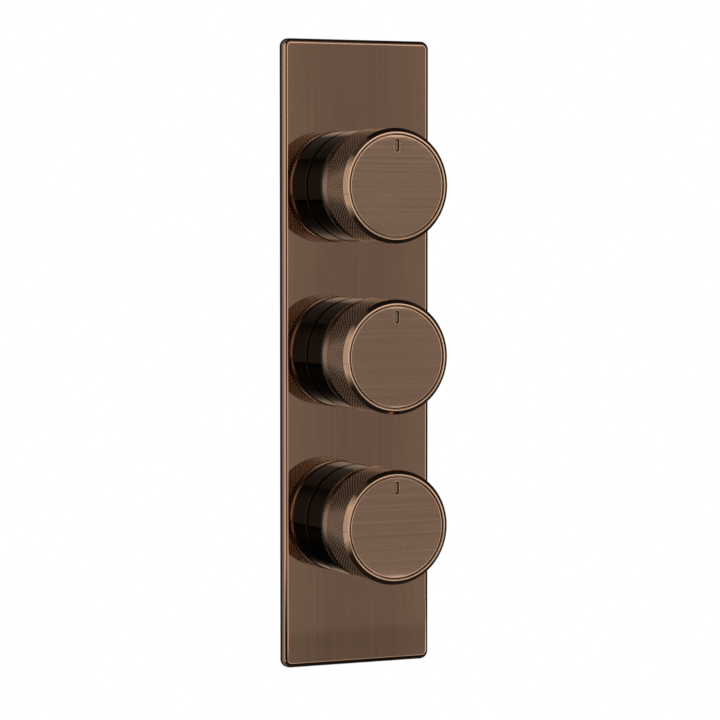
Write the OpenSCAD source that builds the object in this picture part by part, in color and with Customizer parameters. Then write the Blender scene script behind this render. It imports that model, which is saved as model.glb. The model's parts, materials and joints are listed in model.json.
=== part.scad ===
// Thermostatic shower valve: three turned handles on a tall faceplate, and behind it
// the brass body with two ceramic disc cartridges, a thermostatic cartridge and check valves.
// The origin is on the finished wall, at the centre of the faceplate's rear face.
// X points right as seen from the front, Y points into the wall and Z points up.

/* [Faceplate] */
// Width of the faceplate
plate_w = 77; // [70:1:100]
// Height of the faceplate
plate_h = 300; // [280:1:360]
// Thickness of the faceplate, from the wall to its front
plate_t = 4.6; // [4.2:0.1:7]
// Thickness of the front wall of the faceplate
plate_skin = 2.4; // [1.8:0.1:3]
// Width of the rim that meets the wall
plate_rim = 3; // [2.6:0.1:5]
// Rounding of the front edge
plate_edge_r = 2.3; // [1:0.1:2.6]
// Corner radius seen from the front
plate_corner_r = 4; // [3:0.1:10]
// Width of the foam gasket behind the faceplate
gasket_w = 5; // [3:0.5:6]

/* [Handles] */
// Distance between neighbouring handles
pitch = 80; // [76:1:90]
// Outer radius of a handle
handle_r = 27; // [26.5:0.1:28]
// Length of a handle along its axis
handle_len = 27; // [26:0.5:34]
// Wall thickness of a handle
handle_wall = 2.2; // [1.6:0.1:3]
// Step in radius from the trim sleeve up to the handle
handle_step = 0.4; // [0.3:0.1:1]
// Length of the chamfer on that step
back_chamfer = 1.7; // [1:0.1:2.5]
// Length of the smooth band behind the knurl
back_band = 4.6; // [3:0.1:6]
// Length of the knurled band
knurl_len = 18.6; // [14:0.1:18.6]
// Depth of the knurled band's turned recess
knurl_depth = 0.35; // [0.2:0.05:0.6]
// Size of the bevel on the front edge
front_bevel = 1.8; // [1:0.1:1.9]
// Width of the flat rim around the front cap
rim_w = 1; // [0.8:0.1:2]
// Thickness of the web that joins the handle to its hub
web_t = 3.4; // [2.8:0.1:4.5]
// Radius of the hub
hub_r = 9; // [8.5:0.1:11]

/* [Front caps] */
// Thickness of a cap
cap_t = 2.9; // [2.6:0.1:3.4]
// Width of the open groove around a cap
cap_gap = 0.5; // [0.4:0.1:1.2]
// Depth of a cap's face below the rim
cap_inset = 0.1; // [0:0.1:0.5]
// Rounding of a cap's edge
cap_edge_r = 0.4; // [0.2:0.1:0.8]
// Width of the index recess
index_w = 2.6; // [1.6:0.1:4]
// Height of the index recess
index_h = 6.3; // [5:0.1:8]
// Width of the land between the index recess and the cap's edge
index_land = 1.8; // [1.2:0.1:4]
// Depth of the index recess
index_depth = 0.7; // [0.3:0.1:1.2]

/* [Trim sleeves] */
// Distance from the faceplate to a handle's back
sleeve_len = 17; // [14:0.5:22]
// Width of the shadow gap between a sleeve and the faceplate
base_gap = 0.7; // [0.3:0.1:1.2]
// Depth of that gap below the sleeve's surface
base_gap_depth = 0.9; // [0.4:0.1:1.2]
// Wall thickness of a trim sleeve
sleeve_wall = 1.6; // [1:0.1:1.8]
// Thickness of a sleeve's base
sleeve_base_t = 5; // [4:0.1:7]
// Width of a sleeve's base, from its bore to its outside
sleeve_seat_w = 6.1; // [5.2:0.1:6.3]
// Wall thickness of a nose tube
nose_wall = 1.8; // [1.2:0.1:1.9]
// Reach of a nose tube in front of the faceplate
nose_reach = 9; // [7:0.5:12]

/* [Valve body] */
// Depth of the body's front face behind the finished wall
body_setback = 12; // [8:1:20]
// Depth of the threaded mouth that takes a nose tube
mouth_depth = 8; // [6:0.5:10]
// Radius of that mouth
mouth_r = 21; // [20.6:0.1:21.4]
// Outer radius of the three chamber bosses
boss_r = 25; // [24:0.5:28]
// Outer radius of the vertical gallery
gallery_r = 14; // [12:0.5:15]
// Bore radius of the vertical gallery
gallery_bore_r = 8; // [5:0.5:9]
// Outer radius of the round port bosses
port_r = 15; // [13:0.5:16]
// Step in radius from a port boss up to the collar around its mouth
collar_step = 2; // [1:0.1:3]
// Length of that collar
collar_len = 11; // [8:0.5:14]
// Flare of an inlet arm where it leaves the body
arm_flare = 2.5; // [1:0.1:2.9]
// Reach of the top outlet above the top handle's axis
top_reach = 42; // [40:1:60]
// Reach of the side outlet from the middle handle's axis
side_reach = 46; // [42:1:60]
// Thickness of the web that stiffens the body
rib_t = 8; // [5:1:12]
// Distance between the two columns of fixing holes
lug_pitch = 56; // [50:1:70]
// Thickness of the fixing lugs
lug_t = 10; // [6:1:12]
// Radius of the fixing holes
lug_hole_r = 3.25; // [2.5:0.05:3.5]
// Width of the fixing lugs around their holes
lug_w = 14; // [12:1:18]

/* [Ports] */
// Radius of the tapped bore of a half inch pipe thread
pipe_r = 9.3; // [8.5:0.1:10]
// Depth of that thread
pipe_depth = 13; // [10:0.5:14]
// Radius of the water ways
way_r = 6.5; // [5:0.1:7]
// Length of the inlet arms from the thermostat's axis
arm_reach = 52; // [50:1:64]
// Outer radius of the inlet arms
arm_r = 16; // [15.5:0.1:18]
// Length of the hexagon of an inlet union
union_hex_len = 15; // [14:0.5:20]

/* [Flow cartridges] */
// Radius of the cartridge thread
flow_thread_r = 10.3; // [10:0.1:11]
// Length of the cartridge thread
flow_thread_len = 10; // [8:0.5:12]
// Length of the water chamber behind that thread
chamber_len = 19; // [18:0.5:24]
// Radius of the ceramic discs
disc_r = 8.3; // [7.5:0.1:8.4]
// Thickness of one ceramic disc
disc_t = 3.6; // [3:0.1:4]
// Angle that a flow handle turns from shut to fully open
flow_turn_deg = 90; // [80:1:92]

/* [Thermostat] */
// Radius of the thermostatic cartridge's thread
thermo_thread_r = 15.9; // [15.5:0.1:16.5]
// Depth of the cold gallery behind the cartridge seat
cold_depth = 14; // [13.5:0.1:15]
// Distance from the cold gallery to the hot gallery
gallery_step = 13; // [12.5:0.1:14]
// Turn of the temperature handle towards hot
temp_hot_deg = 60; // [30:1:80]
// Turn of the temperature handle towards cold
temp_cold_deg = 210; // [180:1:230]
// Travel of the shuttle in one turn of the temperature handle
temp_lead = 2; // [1:0.1:2.4]
// Radius of the wax element's bulb
wax_r = 4.5; // [4:0.1:5]

/* [Hidden] */

$fn = 96;
HEX = 6;
// Overrun of a cut past the face that it leaves
cut = 1;
// Radial clearance of a running or sliding fit
fit = 0.05;
// Clearance between a moving piece and what it must never touch
free = 0.3;
// Small chamfer that breaks a turned edge
break_edge = 0.4;

// Finishes as the photograph shows them, and plain metals and plastics inside
bronze = [0.43, 0.33, 0.27];
dark_bronze = [0.30, 0.22, 0.17];
brass = [0.72, 0.58, 0.32];
steel = [0.70, 0.70, 0.68];
copper = [0.72, 0.45, 0.30];
ceramic_grey = [0.86, 0.85, 0.80];
ceramic_red = [0.55, 0.30, 0.25];
rubber = [0.10, 0.10, 0.10];
foam = [0.22, 0.22, 0.22];
plastic = [0.88, 0.88, 0.85];
dark_plastic = [0.18, 0.18, 0.20];

// Depths in front of the wall
y_plate = -plate_t;
y_sleeve_end = y_plate - sleeve_len + break_edge;
y_handle_back = y_plate - sleeve_len;
y_handle_front = y_handle_back - handle_len;
y_nose_front = y_plate - nose_reach;
y_knurl_back = y_handle_back - back_chamfer - back_band;
y_knurl_front = y_knurl_back - knurl_len;

// Seal in the base of a trim sleeve
groove_seal_r = 1;
sleeve_groove_w = 2.2;
y_sleeve_groove = y_plate - sleeve_base_t / 2;

// Handle and cap
sleeve_r = handle_r - handle_step;
nose_r = sleeve_r - sleeve_seat_w - 2 * fit;
recess_r = handle_r - front_bevel - rim_w;
cap_r = recess_r - cap_gap;
y_cap_face = y_handle_front + cap_inset;
y_web_front = y_cap_face + cap_t;
y_web_back = y_web_front + web_t;
index_at = cap_r - index_land - index_h / 2;
cap_skin = 1.5;
spigot_wall = 1.8;
spigot_len = 1.5;
spigot_r = 8;
spigot_floor = spigot_len + free;
y_screw_seat = y_web_front + spigot_floor;
screw_r = 2.4;
screw_head_r = 4.2;
screw_head_t = 3;
screw_len = 14;
screw_socket_r = 2;
screw_socket_depth = 1.6;

// Splined end of a spindle and the bush that takes it
spline_r = 4;
spline_root_r = 3.65;
spline_teeth = 20;
spline_len = 15;
spindle_r = 5;
bush_r = 6;
bush_len = 15;
spindle_bore_depth = 13;
y_spindle_tip = y_web_back + free;
y_spline_end = y_spindle_tip + spline_len;
stop_lug_len = 3;
stop_lug_r = 6.5;

// Cartridge seats, measured from the floor of the body's mouths
y_body_front = body_setback;
y_seat = body_setback + mouth_depth;
flange_t = 6;
flow_flange_r = 15.5;
flow_nose_r = 8.5;
nose_len = 12;
y_flow_nose = y_seat - flange_t - nose_len;
y_cavity = y_seat + flow_thread_len;
y_floor = y_cavity + chamber_len;
chamber_r = 14;
skirt_wall = 1.4;
skirt_r = disc_r + 2 * fit + skirt_wall;
skirt_window_half = 34;
key_tab_half = 12;
head_t = 6;
window_margin = 0.6;
y_head = y_cavity + free;
y_moving_disc = y_head + head_t;
y_fixed_disc = y_moving_disc + disc_t + fit;
y_seal = y_fixed_disc + disc_t;
stop_rib_half = 15;
stop_rib_r = 5.6;
head_half = (180 - flow_turn_deg) / 2 - stop_rib_half;
head_at = stop_rib_half + head_half;
stop_slack_deg = 0.5;
port_half = 40;
disc_hub_r = 1.4;
disc_rim = 1;
drive_lug_r = 1.1;
drive_lug_at = 6;
drive_lug_len = 1.2;
seal_hole_r = 5.4;
clip_t = 1.2;
clip_depth = 0.7;
clip_r = 7;
clip_mouth_half = 35;

// Vertical gallery and the body's back
gallery_wall = 7;
y_gallery = y_floor + gallery_bore_r + gallery_wall;
lug_stand = 2;
y_back = y_gallery + gallery_r + lug_stand;
y_outlet = y_cavity + chamber_len / 2;
boss_chamfer = 3;
boss_back = 6;
pad_w = 2.6;
pad_t = 1.5;

// Thermostatic cartridge
y_cold = y_seat + cold_depth;
y_hot = y_cold + gallery_step;
gallery_w = 6;
gallery_ring_r = 19;
window_w = 4;
window_span = 8;
window_count = 4;
thermo_thread_len = 8;
thread_relief = 0.7;
thermo_shell_r = thermo_thread_r - thread_relief;
thermo_flange_r = 18.4;
thermo_nose_r = 12;
thermo_nose_gap = 4;
y_thermo_nose = y_plate - thermo_nose_gap;
end_step = 1;
y_thermo_floor = y_gallery + gallery_bore_r + end_step;
thermo_end_gap = 3;
y_thermo_end = y_thermo_floor - thermo_end_gap;
seat_half_gap = 1;
y_cold_seat = y_cold - seat_half_gap;
y_hot_seat = y_hot + seat_half_gap;
shuttle_bore_r = 11;
cold_seat_r = 9.8;
o_ring_wire_r = 1.05;
groove_r = thermo_thread_r + fit - 2 * o_ring_wire_r - fit;
groove_w = 2.4;
groove_places = [
    (y_cold + y_hot) / 2,
    y_hot + gallery_w / 2 + groove_w
];

// Limit ring on the cartridge's nose, and the lug of the handle's hub that its tab stops
limit_ring_t = 2;
limit_tab_t = 3.5;
y_limit_ring = y_thermo_nose - limit_ring_t;
y_hub_back = y_limit_ring - limit_tab_t - break_edge;
lug_half = 20;
tab_half = (360 - temp_hot_deg - temp_cold_deg) / 2 - lug_half;
lug_at = 90;
tab_at = lug_at + temp_hot_deg + lug_half + tab_half;

// Rotating nut of the thermostat and the plunger that it drives
nut_r = 9.4;
nut_bore_r = 6.5;
nut_back_wall = 1.4;
nut_len = 12.4;
thermo_nose_bore_len = 15.2;
y_nut = y_thermo_nose + thermo_nose_bore_len;
y_nut_end = y_nut + nut_len;
cup_r = 9.3;
cup_wall = 1.3;
cup_travel_gap = 1;
y_cup = y_nut_end + cup_travel_gap;
cup_len = 11;
stem_len = 9;
cup_floor_t = 1.5;
key_w = 3;
key_depth = 1.5;
key_land = 1;
retainer_t = 2;
retainer_lip = 1;
y_retainer = y_cup + cup_len - retainer_t - retainer_lip;

// Shuttle, wax element and return spring
mm_per_deg = temp_lead / 360;
hot_travel = temp_hot_deg * mm_per_deg;
cold_travel = temp_cold_deg * mm_per_deg;
seat_clearance = 0.15;
y_shuttle = y_cold_seat + hot_travel + seat_clearance;
y_shuttle_end = y_hot_seat - cold_travel - seat_clearance;
shuttle_wall = 1.9;
spider_t = 2;
spider_hole_r = 1.5;
spider_hole_count = 6;
spider_inset = 1.5;
y_spider = y_shuttle_end - spider_inset - spider_t;
wax_len = 16;
wax_collar_r = 6;
wax_collar_t = 2.5;
wax_pin_r = 1.6;
seat_sleeve_wall = 1.6;
end_flange_t = 2;
end_flange_r = 6;
return_wire_r = 0.6;
return_coil_r = 7.2;
return_turns = 6;
overload_wire_r = 0.6;
overload_coil_r = 6.4;
overload_turns = 3;

// Inlet arms, measured outwards along X from the thermostat's axis
union_thread_len = 10;
union_thread_r = 12.9;
check_r = 10.9;
check_bore_len = 16;
u_check_start = arm_reach - union_thread_len - check_bore_len;
u_union_start = arm_reach - union_thread_len + free;
check_len = 13.5;
check_seat_t = 3;
check_seat_r = 6;
check_cavity_r = 8.6;
guide_t = 1.6;
guide_arm_w = 2.4;
guide_hub_r = 3;
guide_lip = 0.8;
poppet_r = 7.6;
poppet_t = 2;
stem_r = 1.5;
check_travel = 2.5;
check_wire_r = 0.35;
check_coil_r = 4;
check_turns = 4;
strainer_flange_t = 1;
strainer_r = 5.6;
strainer_wall = 0.6;
strainer_len = 8;
strainer_slot_w = 1;
strainer_slot_count = 8;
union_hex_r = 17;
nut_chamfer = 1.8;
washer_t = 1.5;
slot_h = 12;
slot_w = 5;
u_check_end = u_check_start + check_len;
u_seat = u_check_end - check_seat_t;

// Turned piece: points are radius and depth
module turned(points) {
    rotate([-90, 0, 0]) rotate_extrude() polygon(points);
}

module ring(r_out, r_in, y0, y1) {
    turned([[r_in, y0], [r_out, y0], [r_out, y1], [r_in, y1]]);
}

module rod(r, y0, y1) {
    translate([0, y0, 0]) rotate([-90, 0, 0]) cylinder(r = r, h = y1 - y0);
}

module hexagon(r, y0, y1) {
    translate([0, y0, 0]) rotate([-90, 0, 0]) cylinder(r = r, h = y1 - y0, $fn = HEX);
}

// Hexagon along local Z with turned corners
module nut(r, h) {
    slope = (nut_chamfer + cut) / 2;
    intersection() {
        cylinder(r = r, h = h, $fn = HEX);
        rotate_extrude() polygon([
            [0, 0],
            [r - nut_chamfer, 0],
            [r + cut, slope],
            [r + cut, h - slope],
            [r - nut_chamfer, h],
            [0, h]
        ]);
    }
}

module torus(r, wire_r, y) {
    translate([0, y, 0]) rotate([-90, 0, 0]) rotate_extrude() translate([r, 0]) circle(wire_r);
}

// Outline seen from the front, X right and Z up, from depth y0 to depth y1
module facing(y0, y1) {
    translate([0, y1, 0]) rotate([90, 0, 0]) linear_extrude(y1 - y0) children();
}

// Flat sector of a ring, its middle at angle middle, half its angle each way
module sector(r_in, r_out, half, middle) {
    intersection() {
        difference() {
            circle(r_out);
            circle(r_in);
        }
        rotate(middle) polygon([[0, 0], [r_out, -r_out * tan(half)], [r_out, r_out * tan(half)]]);
    }
}

module star(r_tip, r_root) {
    polygon([
        for (i = [0 : 2 * spline_teeth - 1])
            let (r = i % 2 == 0 ? r_tip : r_root, a = 180 * i / spline_teeth)
            [r * cos(a), r * sin(a)]
    ]);
}

module at_top() { translate([0, 0, pitch]) children(); }
module at_bottom() { translate([0, 0, -pitch]) children(); }

// Inlet arm frame: local Z points outwards, side -1 is hot on the left and 1 is cold on the right
module along_arm(side) {
    translate([0, side < 0 ? y_hot : y_cold, -pitch]) rotate([0, 90 * side, 0]) children();
}

// Helical tube around local Z: its axis height runs from wire_r to length - wire_r
function coil_points(coil_r, wire_r, length, turns, sides, steps) = [
    for (i = [0 : steps])
        let (a = 360 * turns * i / steps, rise = wire_r + (length - 2 * wire_r) * i / steps)
        for (k = [0 : sides - 1])
            let (b = 360 * k / sides, r = coil_r + wire_r * cos(b))
            [r * cos(a), r * sin(a), rise + wire_r * sin(b)]
];

function coil_sides(sides, steps) = [
    for (i = [0 : steps - 1])
        for (k = [0 : sides - 1])
            let (p = i * sides + k, q = i * sides + (k + 1) % sides)
            [p, q, q + sides, p + sides]
];

module coil_spring(coil_r, wire_r, length, turns) {
    sides = 6;
    steps = turns * 14;
    first = [for (k = [0 : sides - 1]) sides - 1 - k];
    last = [for (k = [0 : sides - 1]) steps * sides + k];
    echo("least gap between coils", (length - 2 * wire_r) / turns - 2 * wire_r);
    polyhedron(
        coil_points(coil_r, wire_r, length, turns, sides, steps),
        concat(coil_sides(sides, steps), [first, last])
    );
}

// Section of the faceplate's edge, outwards from a corner's centre and up from the wall
module plate_edge_section() {
    flat_w = plate_corner_r - plate_edge_r;
    square([flat_w, plate_t]);
    square([plate_corner_r, plate_t - plate_edge_r]);
    translate([flat_w, plate_t - plate_edge_r]) circle(plate_edge_r);
}

module plate_edge_half_section() {
    intersection() {
        plate_edge_section();
        square([plate_corner_r, plate_t]);
    }
}

module faceplate() {
    core_w = plate_w - 2 * plate_corner_r;
    core_h = plate_h - 2 * plate_corner_r;
    color(bronze) difference() {
        union() {
            translate([-core_w / 2, -plate_t, -core_h / 2]) cube([core_w, plate_t, core_h]);
            for (side = [0, 180]) rotate([0, side, 0]) {
                translate([core_w / 2, 0, -core_h / 2])
                    linear_extrude(core_h) mirror([0, 1]) plate_edge_half_section();
                translate([core_w / 2, 0, core_h / 2]) rotate([0, -90, 0])
                    linear_extrude(core_w) mirror([0, 1]) plate_edge_half_section();
            }
            for (x = [-1, 1], z = [-1, 1])
                translate([x * core_w / 2, 0, z * core_h / 2]) rotate([90, 0, 0])
                    rotate_extrude() plate_edge_half_section();
        }
        translate([-plate_w / 2 + plate_rim, plate_skin - plate_t, -plate_h / 2 + plate_rim])
            cube([plate_w - 2 * plate_rim, plate_t - plate_skin + cut, plate_h - 2 * plate_rim]);
        for (z = [-pitch, 0, pitch])
            translate([0, 0, z]) rod(nose_r + free, -plate_t - cut, cut);
    }
}

module faceplate_gasket() {
    out_w = plate_w - 2 * plate_rim - 2 * free;
    out_h = plate_h - 2 * plate_rim - 2 * free;
    color(foam) facing(plate_skin - plate_t, 0) difference() {
        square([out_w, out_h], center = true);
        square([out_w - 2 * gasket_w, out_h - 2 * gasket_w], center = true);
    }
}

module sleeve_o_rings() {
    color(rubber) for (z = [-pitch, 0, pitch])
        translate([0, 0, z]) torus(nose_r + groove_seal_r + fit, groove_seal_r, y_sleeve_groove);
}

module trim_sleeve() {
    bore_r = nose_r + 2 * fit;
    inner_r = sleeve_r - sleeve_wall;
    groove_floor_r = nose_r + 2 * groove_seal_r + 3 * fit;
    color(dark_bronze) turned([
        [bore_r, y_plate],
        [sleeve_r - base_gap_depth, y_plate],
        [sleeve_r - base_gap_depth, y_plate - base_gap],
        [sleeve_r, y_plate - base_gap],
        [sleeve_r, y_sleeve_end],
        [inner_r, y_sleeve_end],
        [inner_r, y_plate - sleeve_base_t],
        [bore_r, y_plate - sleeve_base_t],
        [bore_r, y_sleeve_groove - sleeve_groove_w / 2],
        [groove_floor_r, y_sleeve_groove - sleeve_groove_w / 2],
        [groove_floor_r, y_sleeve_groove + sleeve_groove_w / 2],
        [bore_r, y_sleeve_groove + sleeve_groove_w / 2]
    ]);
}

// The front of a nose tube carries the sleeve, its back screws into the body's mouth
module nose_tube() {
    front_in = nose_r - nose_wall;
    back_in = mouth_r - nose_wall;
    y_shoulder = y_body_front - nose_wall;
    color(brass) union() {
        turned([
            [front_in, y_body_front],
            [nose_r, y_body_front],
            [nose_r, y_nose_front + break_edge],
            [nose_r - break_edge, y_nose_front],
            [front_in, y_nose_front]
        ]);
        ring(max(nose_r, mouth_r), min(front_in, back_in), y_shoulder, y_body_front);
        ring(mouth_r, back_in, y_shoulder, y_seat);
    }
}

module handle() {
    inner_r = handle_r - handle_step - handle_wall;
    bore_r = bush_r + fit;
    color(bronze) turned([
        [inner_r, y_handle_back],
        [handle_r - handle_step, y_handle_back],
        [handle_r, y_handle_back - back_chamfer],
        [handle_r, y_knurl_back],
        [handle_r - knurl_depth, y_knurl_back],
        [handle_r - knurl_depth, y_knurl_front],
        [handle_r, y_knurl_front],
        [handle_r, y_handle_front + front_bevel],
        [handle_r - front_bevel, y_handle_front],
        [recess_r, y_handle_front],
        [recess_r, y_web_front],
        [spigot_r + fit, y_web_front],
        [spigot_r + fit, y_screw_seat],
        [screw_r + free, y_screw_seat],
        [screw_r + free, y_web_back],
        [bore_r, y_web_back],
        [bore_r, y_hub_back],
        [hub_r, y_hub_back],
        [hub_r, y_web_back + web_t],
        [hub_r + web_t, y_web_back],
        [inner_r - web_t, y_web_back],
        [inner_r, y_web_back + web_t]
    ]);
}

// The temperature handle's hub carries a stop lug
module handle_temperature() {
    color(bronze) union() {
        handle();
        facing(y_hub_back - break_edge, y_hub_back + stop_lug_len)
            sector(stop_lug_r, hub_r, lug_half - stop_slack_deg, lug_at);
    }
}

module handle_cap() {
    color(bronze) difference() {
        turned([
            [0, y_cap_face],
            [cap_r - cap_edge_r, y_cap_face],
            for (a = [15 : 15 : 90])
                [cap_r - cap_edge_r + cap_edge_r * sin(a), y_cap_face + cap_edge_r - cap_edge_r * cos(a)],
            [cap_r, y_web_front],
            [spigot_r, y_web_front],
            [spigot_r, y_web_front + spigot_len],
            [spigot_r - spigot_wall, y_web_front + spigot_len],
            [spigot_r - spigot_wall, y_cap_face + cap_skin],
            [0, y_cap_face + cap_skin]
        ]);
        facing(y_cap_face - cut, y_cap_face + index_depth) translate([0, index_at]) {
            square([index_w, index_h - index_w], center = true);
            for (z = [-1, 1]) translate([0, z * (index_h - index_w) / 2]) circle(d = index_w);
        }
    }
}

module handle_screw() {
    color(steel) difference() {
        union() {
            rod(screw_head_r, y_screw_seat - screw_head_t, y_screw_seat);
            rod(screw_r, y_screw_seat - break_edge, y_screw_seat + screw_len);
        }
        hexagon(screw_socket_r, y_screw_seat - screw_head_t - cut,
            y_screw_seat - screw_head_t + screw_socket_depth);
    }
}

module spline_bush() {
    color(brass) difference() {
        rod(bush_r, y_web_back, y_web_back + bush_len);
        facing(y_web_back - cut, y_web_back + bush_len + cut)
            star(spline_r + fit, spline_root_r + fit);
    }
}

module spindle_end(y_end) {
    difference() {
        union() {
            facing(y_spindle_tip, y_spline_end) star(spline_r, spline_root_r);
            rod(spindle_r, y_spline_end, y_end);
        }
        rod(screw_r + fit, y_spindle_tip - cut, y_screw_seat + screw_len + cut);
    }
}

module cartridge_spindle() {
    y_clip = y_flow_nose - free - clip_t;
    color(brass) difference() {
        union() {
            spindle_end(y_head + cut);
            facing(y_head, y_moving_disc) {
                circle(spindle_r);
                for (a = [0, 180]) sector(0, disc_r - fit, head_half - stop_slack_deg, head_at + a);
            }
            for (a = [0, 180]) rotate([0, -head_at - a, 0])
                translate([drive_lug_at, 0, 0])
                rod(drive_lug_r, y_moving_disc - cut, y_moving_disc + drive_lug_len);
        }
        ring(spindle_r + cut, spindle_r - clip_depth, y_clip, y_clip + clip_t);
    }
}

module spindle_clip() {
    y_clip = y_flow_nose - free - clip_t;
    color(steel) facing(y_clip + fit, y_clip + clip_t - fit) difference() {
        circle(clip_r);
        circle(spindle_r - clip_depth + fit);
        polygon([
            [0, 0],
            [clip_r * sin(clip_mouth_half), clip_r],
            [-clip_r * sin(clip_mouth_half), clip_r]
        ]);
    }
}

module cartridge_shell() {
    color(brass) difference() {
        union() {
            rod(flow_nose_r, y_flow_nose, y_seat);
            hexagon(flow_flange_r, y_seat - flange_t, y_seat);
            rod(flow_thread_r, y_seat - fit, y_cavity);
            rod(skirt_r, y_cavity - cut, y_floor - free);
        }
        rod(spindle_r + fit, y_flow_nose - cut, y_floor);
        difference() {
            rod(disc_r + 2 * fit, y_cavity, y_floor);
            for (a = [0, 180]) facing(y_cavity - cut, y_moving_disc)
                sector(stop_rib_r, skirt_r, stop_rib_half - stop_slack_deg, a);
        }
        for (a = [90, 270]) {
            facing(y_head, y_moving_disc - window_margin)
                sector(disc_r - disc_rim, skirt_r + cut, skirt_window_half, a);
            facing(y_fixed_disc - fit, y_floor)
                sector(disc_r - disc_rim, skirt_r + cut, key_tab_half, a);
        }
    }
}

module moving_disc() {
    color(ceramic_grey) difference() {
        rod(disc_r, y_moving_disc + fit, y_moving_disc + disc_t);
        for (a = [90, 270]) facing(y_moving_disc - cut, y_moving_disc + disc_t + cut)
            sector(disc_hub_r, disc_r - disc_rim, port_half, head_at + a);
        for (a = [0, 180]) rotate([0, -head_at - a, 0])
            translate([drive_lug_at, 0, 0])
            rod(drive_lug_r + fit, y_moving_disc - cut, y_moving_disc + drive_lug_len + fit);
    }
}

module fixed_disc() {
    color(ceramic_red) difference() {
        union() {
            rod(disc_r, y_fixed_disc, y_fixed_disc + disc_t);
            for (a = [90, 270]) facing(y_fixed_disc, y_fixed_disc + disc_t)
                sector(disc_r - disc_rim, skirt_r, key_tab_half - stop_slack_deg, a);
        }
        for (a = [0, 180]) facing(y_fixed_disc - cut, y_fixed_disc + disc_t + cut)
            sector(disc_hub_r, disc_r - disc_rim, port_half, head_at + a);
    }
}

module seat_seal() {
    color(rubber) turned([
        [seal_hole_r + cut, y_seal],
        [disc_r, y_seal],
        [disc_r, y_floor],
        [seal_hole_r, y_floor],
        [seal_hole_r, y_seal + cut]
    ]);
}

// Boss of a chamber, with a chamfered back edge
module chamber_boss(y_end) {
    turned([
        [0, y_body_front],
        [boss_r - break_edge, y_body_front],
        [boss_r, y_body_front + break_edge],
        [boss_r, y_end - boss_chamfer],
        [boss_r - boss_chamfer, y_end],
        [0, y_end]
    ]);
}

// Bar with two fixing holes, each in a raised round pad
module fixing_lug() {
    y_front = y_back - lug_t;
    difference() {
        union() {
            facing(y_front, y_back) {
                square([lug_pitch, lug_w], center = true);
                for (x = [-1, 1]) translate([x * lug_pitch / 2, 0]) circle(d = lug_w);
            }
            for (x = [-1, 1]) translate([x * lug_pitch / 2, 0, 0])
                rod(lug_hole_r + pad_w, y_front - pad_t, y_front + cut);
        }
        for (x = [-1, 1]) translate([x * lug_pitch / 2, 0, 0])
            rod(lug_hole_r, y_front - pad_t - cut, y_back + cut);
    }
}

// Round port boss along local Z with a collar around its mouth
module port_boss(r, reach) {
    rotate_extrude() polygon([
        [0, 0],
        [r, 0],
        [r, reach - collar_len - collar_step],
        [r + collar_step, reach - collar_len],
        [r + collar_step, reach - break_edge],
        [r + collar_step - break_edge, reach],
        [0, reach]
    ]);
}

module outlet_cut(reach) {
    cylinder(r = way_r, h = reach);
    translate([0, 0, reach - pipe_depth]) cylinder(r = pipe_r, h = pipe_depth + cut);
}

module valve_body() {
    color(brass) difference() {
        union() {
            for (z = [0, pitch]) translate([0, 0, z]) chamber_boss(y_floor + boss_back);
            at_bottom() chamber_boss(y_gallery + gallery_r + end_step);
            translate([0, y_gallery, -pitch]) cylinder(r = gallery_r, h = 2 * pitch + gallery_r / 2);
            translate([-rib_t / 2, y_cavity, -pitch]) cube([rib_t, y_gallery - y_cavity, 2 * pitch]);
            for (side = [-1, 1]) along_arm(side) {
                port_boss(arm_r, arm_reach);
                cylinder(r1 = arm_r + 2 * arm_flare, r2 = arm_r - arm_flare / 3, h = boss_r + 3 * arm_flare);
            }
            translate([0, y_outlet, pitch]) port_boss(port_r, top_reach);
            translate([0, y_outlet, 0]) rotate([0, 90, 0]) port_boss(port_r, side_reach);
            for (z = [-1, 1]) translate([0, 0, z * pitch / 2]) fixing_lug();
        }
        for (z = [-pitch, 0, pitch]) translate([0, 0, z]) rod(mouth_r + fit, y_body_front - cut, y_seat);
        for (z = [0, pitch]) translate([0, 0, z]) {
            rod(flow_thread_r + fit, y_seat - cut, y_cavity + cut);
            rod(chamber_r, y_cavity, y_floor);
            rod(way_r, y_floor - cut, y_gallery);
        }
        translate([0, y_gallery, -pitch]) cylinder(r = gallery_bore_r, h = 2 * pitch);
        at_bottom() {
            rod(thermo_thread_r + fit, y_seat - cut, y_thermo_floor);
            for (y = [y_cold, y_hot]) rod(gallery_ring_r, y - gallery_w / 2, y + gallery_w / 2);
        }
        for (side = [-1, 1]) along_arm(side) {
            translate([-slot_h / 2, -slot_w / 2, 0]) cube([slot_h, slot_w, u_check_start + cut]);
            translate([0, 0, u_check_start]) cylinder(r = check_r + fit, h = arm_reach);
            translate([0, 0, arm_reach - union_thread_len])
                cylinder(r = union_thread_r + fit, h = union_thread_len + cut);
        }
        translate([0, y_outlet, pitch]) outlet_cut(top_reach);
        translate([0, y_outlet, 0]) rotate([0, 90, 0]) outlet_cut(side_reach);
    }
}

// Ring of windows through the wall of the thermostatic cartridge
module port_windows(r_in, y) {
    for (i = [0 : window_count - 1]) rotate([0, 360 * i / window_count, 0])
        translate([r_in, y - window_w / 2, -window_span / 2])
        cube([thermo_thread_r, window_w, window_span]);
}

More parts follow.
